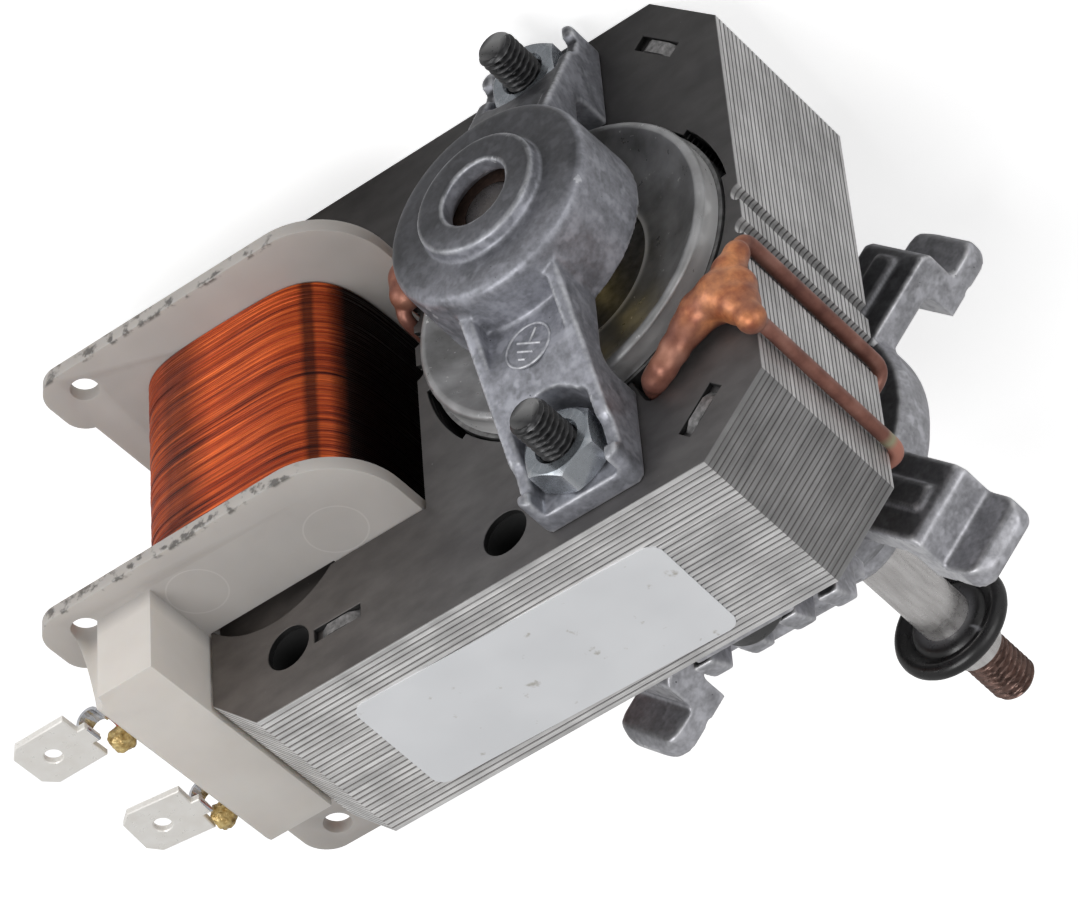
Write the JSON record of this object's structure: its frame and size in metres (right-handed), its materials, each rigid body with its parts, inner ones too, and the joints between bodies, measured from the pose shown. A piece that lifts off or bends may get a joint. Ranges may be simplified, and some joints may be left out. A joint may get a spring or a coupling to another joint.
{
  "type": "oven fan motor",
  "caption": "Shaded-pole fan motor of an oven: a laminated C-frame stator with a side winding, cast bearing brackets and a rotor whose shaft ends in a thread.",
  "frame": {"origin": "on the shaft axis, in the plane that the four mounting feet rest on", "axes": "+Y along the shaft towards its threaded end, +X towards the winding, +Z towards the face that carries the label"},
  "size_m": [0.0858, 0.0871, 0.0611],
  "materials": {
    "lamination_steel": "stamped electrical steel, satin, dark oxide on the front face",
    "die_cast_zinc": "bare die casting, mottled grey with bright worn edges",
    "die_cast_dark": "bare die casting, darker, bright on its edges",
    "bobbin_plastic": "natural off-white moulding, slightly translucent",
    "magnet_wire": "enamelled copper wire",
    "tinned_brass": "tinned, slightly dull",
    "solder_flux": "solder with brown flux",
    "label_film": "bare matt film with light stains",
    "brazed_copper": "copper, dulled and browned by brazing",
    "sintered_bronze": "oiled sintered bronze",
    "oil_felt": "oiled wool felt",
    "yellow_zinc": "yellow passivated sheet",
    "black_bolt": "blackened steel",
    "zinc_nut": "bright zinc plate",
    "rotor_steel": "turned laminations",
    "cast_cage": "cast aluminium, smeared bright at the rim",
    "shaft_steel": "ground steel, browned on the thread",
    "spacer_brass": "turned brass",
    "washer_fibre": "fibre washer",
    "flinger_black": "black moulded disc, greyed at its rim"
  },
  "bodies": {
    "stator": {"stator_stack": "lamination_steel", "coil_core": "lamination_steel", "bobbin": "bobbin_plastic", "coil_winding": "magnet_wire", "terminal_front": "tinned_brass", "terminal_rear": "tinned_brass", "lead_front": "solder_flux", "lead_rear": "solder_flux", "rating_label": "label_film", "shading_ring_lower": "brazed_copper", "shading_ring_upper": "brazed_copper", "front_bracket": "die_cast_zinc", "front_bearing": "sintered_bronze", "front_felt": "oil_felt", "front_retainer": "yellow_zinc", "rear_bracket": "die_cast_dark", "rear_bearing": "sintered_bronze", "rear_felt": "oil_felt", "rear_retainer": "yellow_zinc", "bolt_upper": "black_bolt", "bolt_lower": "black_bolt", "nut_upper": "zinc_nut", "nut_lower": "zinc_nut"},
    "rotor": {"rotor_core": "rotor_steel", "rotor_cage": "cast_cage", "shaft": "shaft_steel", "spacer_front": "spacer_brass", "spacer_rear": "spacer_brass", "thrust_washer_front": "washer_fibre", "thrust_washer_rear": "washer_fibre", "flinger_disc": "flinger_black"}
  },
  "joints": [
    {"name": "rotor_spin", "type": "hinge", "parent": "stator", "child": "rotor", "pos_m": [0, 0, 0], "axis": [0, 1, 0], "continuous": true}
  ]
}
